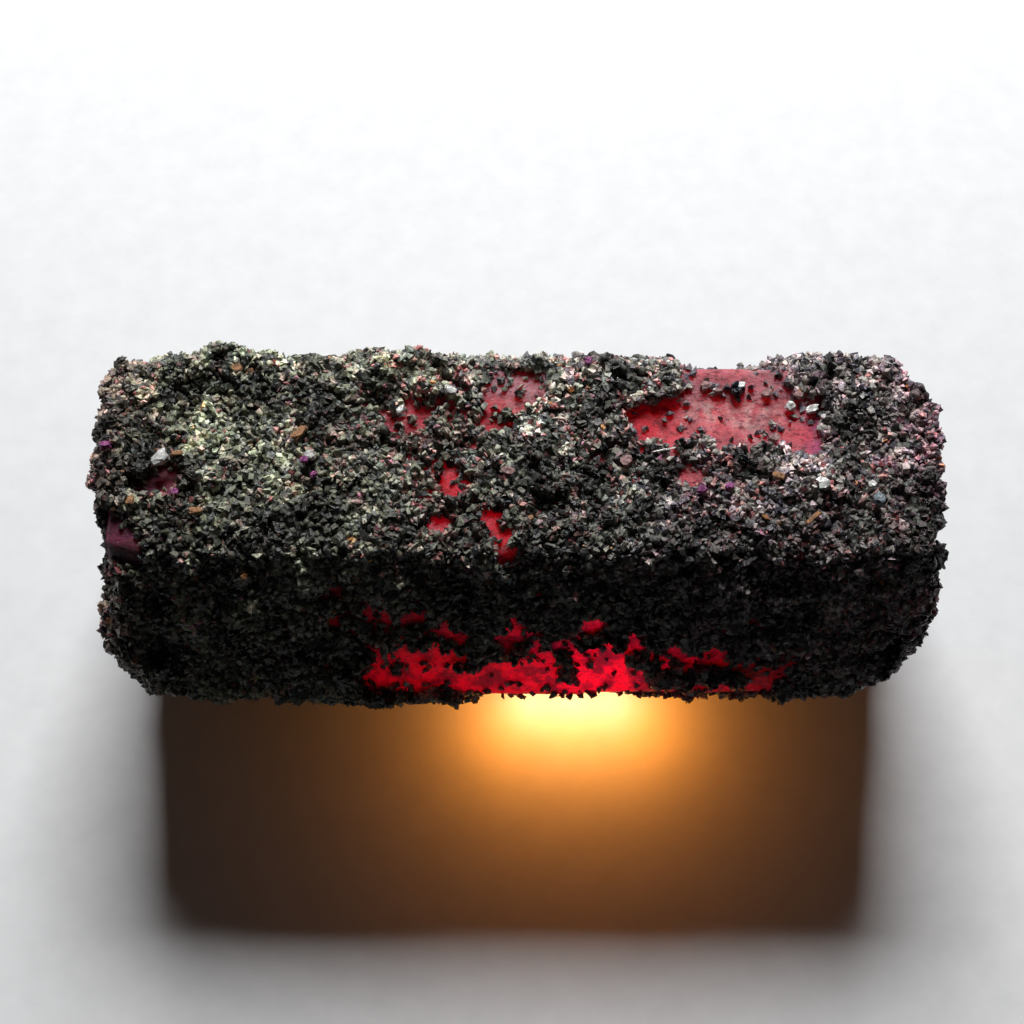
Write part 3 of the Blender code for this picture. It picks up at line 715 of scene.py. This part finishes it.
hornblende = mineral("hornblende", [(0.0, (0.07, 0.08, 0.068)), (0.35, (0.17, 0.188, 0.15)),
                                    (0.7, (0.31, 0.33, 0.26)), (1.0, (0.50, 0.50, 0.41))],
                     (0.2, 0.6))
biotite = mineral("biotite", [(0.0, (0.02, 0.022, 0.025)), (0.5, (0.09, 0.096, 0.10)),
                              (0.85, (0.20, 0.20, 0.19)), (1.0, (0.42, 0.41, 0.39))],
                  (0.12, 0.45))
feldspar = mineral("feldspar_and_quartz", [(0.0, (0.20, 0.21, 0.17)), (0.5, (0.40, 0.39, 0.33)),
                                           (0.88, (0.56, 0.50, 0.45)), (1.0, (1.0, 0.98, 0.95))],
                   (0.10, 0.4), own_tone=0.65)
ruby_chip = mineral("ruby_chips", [(0.0, (0.10, 0.02, 0.026)), (0.4, (0.32, 0.12, 0.115)),
                                   (0.8, (0.56, 0.36, 0.31)), (0.93, (0.46, 0.20, 0.28)),
                                   (1.0, (0.72, 0.22, 0.42))],
                    (0.15, 0.45), tint=0.2, own_tone=0.8)
rusty_mica = mineral("rusty_mica", [(0.0, (0.24, 0.09, 0.03)), (0.6, (0.46, 0.22, 0.08)),
                                    (1.0, (0.68, 0.46, 0.24))], (0.2, 0.5), tint=0.2, own_tone=1.0)

ANY_WAY = math.pi           # a tilt that lets grains lie any way round
# Where chips of ruby gather in the crust: face, x, v, reach.
CHIP_SPOTS = [("top", 4.8, 6.0, 1.6), ("top", -6.0, 2.0, 4.5), ("top", -4.0, -3.0, 3.5),
              ("top", 5.5, -1.0, 5.0), ("top", 12.0, -3.0, 4.0), ("top", 21.0, -4.5, 4.5),
              ("top", 7.4, 5.2, 1.8), ("top", -2.4, 5.4, 1.4), ("top", -11.5, 0.6, 2.6),
              ("top", -12.5, -1.6, 1.6), ("top", -25.0, -0.4, 1.8), ("top", -20.6, -2.4, 1.6),
              ("front_upper", 23.0, 1.0, 4.0), ("front_upper", -24.0, 2.0, 3.0)]


def chips_cover(mesh):
    """How thickly the chips of ruby lie: in the named spots, and thinly everywhere else."""
    values = []
    for vertex, bed_cover in zip(mesh.vertices, mesh.attributes["cover"].data):
        patch = max(noise.noise((vertex.co - axis) / (4.0 * MM)), 0.0)
        values.append(bed_cover.value * (0.06 + 0.35 * patch + near(vertex.co, CHIP_SPOTS)))
    keep_attribute(mesh, "chips", values)


chips_cover(bed.data)

# Sizes: length, thickness, lowest and highest lift over the bed, in millimetres, and tilt.
scatter("hornblende_blocks", bed.data, "block", 16400, hornblende, 3,
        (0.37, 0.32, -0.05, 0.18, ANY_WAY))
scatter("hornblende_nuggets", bed.data, "nugget", 9800, hornblende, 9,
        (0.47, 0.40, -0.08, 0.16, ANY_WAY))
scatter("dark_crumbs", bed.data, "crumb", 24000, biotite, 12,
        (0.40, 0.35, -0.02, 0.20, ANY_WAY))
scatter("biotite_flakes", bed.data, "flake", 8500, biotite, 15,
        (0.46, 0.14, 0.02, 0.24, 0.7))
scatter("feldspar_grains", bed.data, "crumb", 18000, feldspar, 21,
        (0.37, 0.33, 0.00, 0.22, ANY_WAY))
scatter("ruby_chips", bed.data, "crumb", 6000, ruby_chip, 27,
        (0.36, 0.32, 0.02, 0.24, ANY_WAY), cover="chips")
scatter("rusty_flakes", bed.data, "flake", 500, rusty_mica, 33,
        (0.44, 0.12, 0.10, 0.28, 0.6))


# ==== Crumbs on the bare ruby ====
# Grains of the schist that still cling to the ruby where the crust has come away: thick along
# the edges of the windows, in small islands on the lower front, and thinly elsewhere.

# Islands of crumbs: face, x, v, reach.
ISLANDS = [("front_upper", 3.3, -3.5, 1.0), ("front_upper", 3.0, -2.2, 0.8),
           ("front_upper", 8.9, -3.8, 1.4), ("front_upper", 10.6, -5.3, 1.0),
           ("front_upper", 12.1, -4.1, 1.3), ("front_upper", 14.0, -5.1, 0.7),
           ("front_upper", 0.1, -2.9, 0.5), ("front_upper", -1.1, -4.6, 0.5),
           ("front_upper", -2.6, -3.5, 0.6), ("front_upper", 5.2, -5.3, 0.5),
           ("front_upper", 6.9, -2.9, 0.6), ("front_upper", 1.9, -5.1, 0.5),
           ("front_upper", 4.2, -1.9, 0.7), ("front_upper", -5.6, -3.2, 0.7),
           ("front_upper", -7.6, -3.6, 0.6), ("top", 10.6, 2.0, 0.6), ("top", 11.2, 1.2, 0.45),
           ("top", 15.4, 1.4, 0.5), ("top", 17.9, 2.6, 0.7), ("top", 0.6, 2.9, 0.5),
           ("top", 10.6, 4.3, 0.5), ("top", 12.3, 4.3, 0.35), ("top", 13.0, 4.2, 0.35),
           ("top", 14.7, 4.0, 0.35), ("top", 16.3, 4.0, 0.5), ("top", 17.4, 3.7, 0.6),
           ("top", 7.2, 1.3, 0.45), ("top", 8.8, 0.8, 0.5),
           ("top", -0.2, 4.4, 0.5), ("top", -1.9, 4.9, 0.6), ("top", -0.9, 5.6, 0.6),
           ("top", 1.7, 5.3, 0.7), ("top", 2.0, 4.3, 0.6), ("top", -2.2, 3.6, 0.5),
           ("top", 10.9, 6.3, 0.8), ("top", 10.8, 5.2, 0.7), ("top", 16.5, 6.6, 0.8),
           ("top", 16.4, 5.4, 0.7), ("top", -0.9, 4.4, 0.5), ("top", 0.1, 3.9, 0.45),
           ("top", -4.7, -1.3, 0.4), ("top", -3.6, -2.1, 0.4), ("top", -1.2, -6.2, 0.35),
           ("front_upper", -2.4, -5.7, 0.4), ("front_upper", 0.6, -5.8, 0.45),
           ("front_upper", 3.2, -5.9, 0.4), ("front_upper", 6.8, -5.8, 0.5), ("top", 17.0, -0.6, 0.5),
           ("top", 18.9, 2.6, 0.5)]
EDGE_REACH = 0.45           # how far from the crust the crumbs lie thickly


def crumbs_cover(mesh):
    """How thickly crumbs cling to the bare ruby: 0 under the crust, most on an island."""
    body = bmesh.new()
    body.from_mesh(bed.data)
    crust = BVHTree.FromBMesh(body)
    body.free()
    values = []
    for vertex in mesh.vertices:
        start = vertex.co + vertex.normal * 0.03 * MM
        if crust.ray_cast(start, vertex.normal, 4 * MM)[0] is not None:
            values.append(0.0)
            continue
        away = crust.find_nearest(vertex.co)[3] / (EDGE_REACH * MM)
        whole = 1.0 - min(max(thinness(vertex.co) * 1.5, pinhole(vertex.co), 0.0), 1.0)
        edge = 0.7 * math.exp(-away ** 2) * whole
        patch = max(noise.noise((vertex.co - axis) / (0.6 * MM)) - 0.22, 0.0)
        patch *= 1.3 if vertex.normal.y < -0.5 else 0.6
        values.append(max(edge, patch, 1.5 * near(vertex.co, ISLANDS) ** 2 * 0.8))
    keep_attribute(mesh, "crumbs", values)
    # A middling height, which sets the painted gap shade of the grains that cling here.
    keep_attribute(mesh, "height", np.full(len(values), 0.45))


crumbs_cover(ruby.data)
crumb_area = covered_area(ruby.data, "crumbs") / (MM * MM)
scatter("clinging_dark_crumbs", ruby.data, "crumb", round(crumb_area * 8), biotite,
        41, (0.42, 0.36, -0.02, 0.16, ANY_WAY), cover="crumbs")
scatter("clinging_grains", ruby.data, "crumb", round(crumb_area * 4), hornblende,
        43, (0.40, 0.34, 0.00, 0.20, ANY_WAY), cover="crumbs")
scatter("clinging_feldspar", ruby.data, "crumb", round(crumb_area * 1.6), feldspar,
        47, (0.34, 0.30, 0.00, 0.22, ANY_WAY), cover="crumbs")


# ==== Larger grains ====
# Single grains that stand out: pebbles along the foot of the ledge, lumps of quartz, rusty mica
# books, magenta ruby chips and one pale needle. Each is one worn or broken lump.

def clear_quartz():
    stone = Shader("clear_quartz")
    cloudy = stone.ramp(stone.noise(0.5), [(0.35, (0.34, 0.34, 0.33)), (0.65, (0.80, 0.80, 0.78))])
    stone.fill(stone.surface, {"Base Color": cloudy, "Roughness": 0.18, "Subsurface Weight": 0.3,
                               "Subsurface Scale": 0.3 * MM,
                               "Normal": stone.bump(stone.noise(0.3), 0.05)})
    return stone.material


def plain_grain(name, colour, roughness, pitted=0.10):
    stone = Shader(name)
    veil = stone.noise(0.2, 5.0, 0.75)
    dim = stone.ramp(veil, [(0.38, tuple(c * 0.2 for c in colour)), (0.62, colour)])
    stone.fill(stone.surface, {"Base Color": dim, "Roughness": roughness,
                               "Normal": stone.bump(veil, pitted)})
    return stone.material


LUMP_FINISHES = {
    "quartz": clear_quartz(),
    "blue_black": plain_grain("blue_black_tourmaline", (0.022, 0.028, 0.040), 0.10, 0.02),
    "pink": plain_grain("pink_feldspar", (0.50, 0.28, 0.27), 0.45),
    "magenta": plain_grain("magenta_ruby", (0.50, 0.10, 0.36), 0.35),
    "rust": plain_grain("rusty_mica_book", (0.52, 0.24, 0.09), 0.35),
    "blue_grey": plain_grain("blue_grey_quartz", (0.42, 0.52, 0.58), 0.25),
}
# Finish, face, x, v, length, width, height, turn in degrees, and lift over the ruby.
LUMPS = [
    ("pink", "top", 11.7, 4.4, 0.9, 0.7, 0.6, 20, 0.2),
    ("pink", "top", 12.5, 4.1, 0.7, 0.5, 0.5, -30, 0.2),
    ("blue_black", "top", 13.7, 4.1, 1.2, 1.1, 1.0, 0, 0.35),
    ("pink", "top", 15.5, 3.9, 0.8, 0.6, 0.5, 10, 0.2),
    ("quartz", "top", 16.9, 3.0, 0.8, 0.7, 0.6, 40, 0.2),
    ("pink", "top", 17.4, 3.8, 0.7, 0.6, 0.6, -15, 0.25),
    ("quartz", "top", 18.2, 2.8, 1.1, 0.6, 0.4, 25, 0.25),
    ("quartz", "top", -21.6, -1.1, 1.4, 1.0, 0.9, 35, 1.0),
    ("rust", "top", -20.6, -0.8, 0.9, 0.5, 0.4, 10, 1.05),
    ("quartz", "top", -7.2, 2.3, 0.9, 0.6, 0.5, 30, 0.95),
    ("quartz", "top", -4.1, 3.7, 0.9, 0.7, 0.6, -10, 0.95),
    ("quartz", "top", 18.3, -2.8, 1.1, 0.9, 0.6, 20, 1.1),
    ("blue_grey", "top", 21.5, -4.0, 0.9, 0.9, 0.7, 60, 1.3),
    ("quartz", "top", 21.2, -3.0, 0.7, 0.6, 0.5, 0, 1.25),
    ("quartz", "top", -12.6, -0.9, 0.9, 0.7, 0.6, 15, 1.0),
    ("magenta", "top", -12.9, -1.2, 0.6, 0.5, 0.5, 0, 1.05),
    ("magenta", "top", -12.3, -2.2, 0.6, 0.5, 0.5, 45, 1.0),
    ("magenta", "top", 11.0, -3.2, 0.8, 0.7, 0.6, 70, 1.0),
    ("magenta", "top", 12.7, -3.0, 0.7, 0.5, 0.5, 10, 1.0),
    ("magenta", "top", -25.1, -0.1, 0.8, 0.6, 0.5, 20, 0.9),
    ("magenta", "top", -20.7, -2.9, 0.7, 0.6, 0.5, 20, 0.2),
    ("magenta", "top", 4.4, 5.8, 0.7, 0.6, 0.5, 0, 1.0),
    ("rust", "top", -17.3, 4.8, 0.8, 0.6, 0.4, 0, 1.9),
    ("rust", "top", -13.3, 0.7, 1.5, 0.6, 0.4, 55, 1.0),
    ("rust", "top", -19.2, -4.6, 1.0, 0.6, 0.4, 10, 1.0),
    ("rust", "top", -23.1, -3.9, 0.6, 0.8, 0.3, 0, 1.0),
    ("rust", "top", 15.7, -2.2, 0.9, 0.5, 0.3, -20, 0.9),
    ("rust", "top", 17.5, -5.1, 1.5, 0.32, 0.3, 40, 1.1),
    ("pink", "top", 15.7, 0.7, 0.8, 0.7, 0.5, 15, 0.2),
    ("pink", "top", 6.6, -1.2, 1.0, 0.8, 0.5, 15, 0.9),
    ("pink", "top", -0.6, -1.9, 0.9, 0.6, 0.5, -20, 0.9),
    ("quartz", "top", 8.9, -0.5, 1.8, 0.12, 0.12, 14, 1.0),
    ("quartz", "back_upper", 4.0, -2.0, 1.1, 0.9, 0.7, 30, 0.9),
    ("pink", "back_upper", -14.0, 3.0, 1.0, 0.8, 0.6, 0, 0.9),
    ("rust", "back_lower", 12.0, 2.0, 1.2, 0.7, 0.4, 20, 0.9),
    ("quartz", "back_lower", -20.0, 0.0, 1.0, 0.8, 0.7, 50, 0.9),
]


def lumps_mesh():
    body = bmesh.new()
    chance = random.Random(5)
    finishes = list(LUMP_FINISHES)
    for finish, face, x, v, length, width, height, turn, lift in LUMPS:
        normal, sideways = face_directions(face)
        stand = Matrix((Vector((1, 0, 0)), sideways, normal)).transposed()
        stand = stand @ Matrix.Rotation(math.radians(turn), 3, "Z")
        size = Matrix.Diagonal((length / 2, width / 2, height / 2))
        made = bmesh.ops.create_icosphere(body, subdivisions=2, radius=0.9)["verts"]
        seed = Vector((chance.uniform(0, 90), chance.uniform(0, 90), 0.0))
        for vertex in made:
            rough = 1.0 + 0.6 * noise.noise(vertex.co * 1.3 + seed)
            flat = Vector(round(c * 1.6) / 1.6 for c in vertex.co)
            shaped = size @ (vertex.co.lerp(flat, 0.5) * rough)
            vertex.co = on_face(face, x, v, lift) + stand @ shaped * MM
            for corner in vertex.link_faces:
                corner.material_index = finishes.index(finish)
    mesh = bpy.data.meshes.new("larger_grains")
    body.to_mesh(mesh)
    body.free()
    for finish in finishes:
        mesh.materials.append(LUMP_FINISHES[finish])
    return mesh


lumps = piece_from(lumps_mesh(), "larger_grains")
hold_in_box(lumps.data)
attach(lumps, "root")


# ==== Floor, lights and camera ====
# A pale paper floor under one window high at the back. A torch under the stone's front shows as a
# warm pool on the floor and as a red glow in the ruby; each of those has small lamps of its own.

def floor():
    size = 1.6
    mesh = bpy.data.meshes.new("floor")
    corners = [(-size, -size, 0.0), (size, -size, 0.0), (size, size, 0.0), (-size, size, 0.0)]
    mesh.from_pydata(corners, [], [(0, 1, 2, 3)])
    plane = piece_from(mesh, "floor")
    paper = Shader("pale_floor")
    mottle = paper.ramp(paper.noise(2.4, 5.0, 0.6), [(0.3, (0.80, 0.81, 0.82)),
                                                      (0.7, (0.86, 0.87, 0.88))])
    paper.fill(paper.surface, {"Base Color": mottle, "Roughness": 0.75})
    mesh.materials.append(paper.material)
    plane.visible_diffuse = False
    return plane


def soft_light(name, place, target, width, height, power, colour=(1.0, 1.0, 1.0)):
    lamp = bpy.data.lights.new(name, "AREA")
    lamp.shape = "RECTANGLE"
    lamp.size = width
    lamp.size_y = height
    lamp.energy = power
    lamp.color = colour
    holder = bpy.data.objects.new(name, lamp)
    bpy.context.scene.collection.objects.link(holder)
    holder.location = place
    holder.rotation_euler = (Vector(target) - Vector(place)).to_track_quat("-Z", "Y").to_euler()
    return holder


def small_lamp(name, x, y, z, power, colour, radius):
    """A small warm lamp near the ground, in front of the crystal's foot."""
    lamp = bpy.data.lights.new(name, "POINT")
    lamp.energy = power
    lamp.color = colour
    lamp.shadow_soft_size = radius * MM
    holder = bpy.data.objects.new(name, lamp)
    holder.location = Vector((axis.x + x * MM, axis.y + y * MM, z * MM))
    bpy.context.scene.collection.objects.link(holder)
    return holder


def light_only(lamp, thing):
    """Keeps a lamp to one object, and out of sight."""
    lamp.visible_camera = False
    lit = bpy.data.collections.new(lamp.name + "_lights")
    lit.objects.link(thing)
    lamp.light_linking.receiver_collection = lit


paper_floor = floor()
soft_light("window_light", axis + Vector((0.003, 0.262, 0.262)), axis, 0.17, 0.10, 1.88)
for number, x in enumerate((0.8, 3.8, 6.8)):
    core = small_lamp(f"torch_core_{number}", x, -8.8, 2.2, 1.5e-4, (1.0, 0.95, 0.62), 0.7)
    light_only(core, paper_floor)
for number, x in enumerate((-0.5, 4.0, 8.5)):
    halo = small_lamp(f"torch_halo_{number}", x, -10.2, 4.0, 1.0e-3, (1.0, 0.28, 0.0), 0.8)
    light_only(halo, paper_floor)
for number, (face, x, v, width, height, power, colour) in enumerate([
        ("front_upper", 5.4, -3.0, 4, 2.5, 0.45e-3, (1.0, 0.06, 0.36)),
        ("front_upper", 1.6, -4.6, 23, 2.5, 0.75e-3, (1.0, 0.02, 0.16)),
        ("top", -2.6, -3.2, 8, 7, 0.26e-3, (1.0, 0.0, 0.06)),
        ("top", 7.4, 2.0, 4, 3, 0.07e-3, (1.0, 0.0, 0.06))]):
    glow = soft_light(f"torch_glow_{number}", on_face(face, x, v - 1.2, 4.5),
                      on_face(face, x, v), width * MM, height * MM, power, colour)
    light_only(glow, ruby)

world = bpy.data.worlds.new("room")
world.use_nodes = True
world.node_tree.nodes["Background"].inputs["Color"].default_value = (0.95, 0.97, 1.0, 1.0)
world.node_tree.nodes["Background"].inputs["Strength"].default_value = 0.015
bpy.context.scene.world = world
bpy.context.scene.view_settings.view_transform = "Standard"

CAMERA_FROM_AXIS = (-0.35, -45.593, 95.095)
CAMERA_TILT = 26.0          # degrees from straight down
camera = bpy.data.cameras.new("camera")
camera.lens = 55.247
camera.sensor_width = 36.0
camera.clip_start = 5 * MM
camera_holder = bpy.data.objects.new("camera", camera)
camera_holder.location = axis + Vector(CAMERA_FROM_AXIS) * MM
camera_holder.rotation_euler = Euler((math.radians(CAMERA_TILT), 0.0, 0.0))
bpy.context.scene.collection.objects.link(camera_holder)
bpy.context.scene.camera = camera_holder
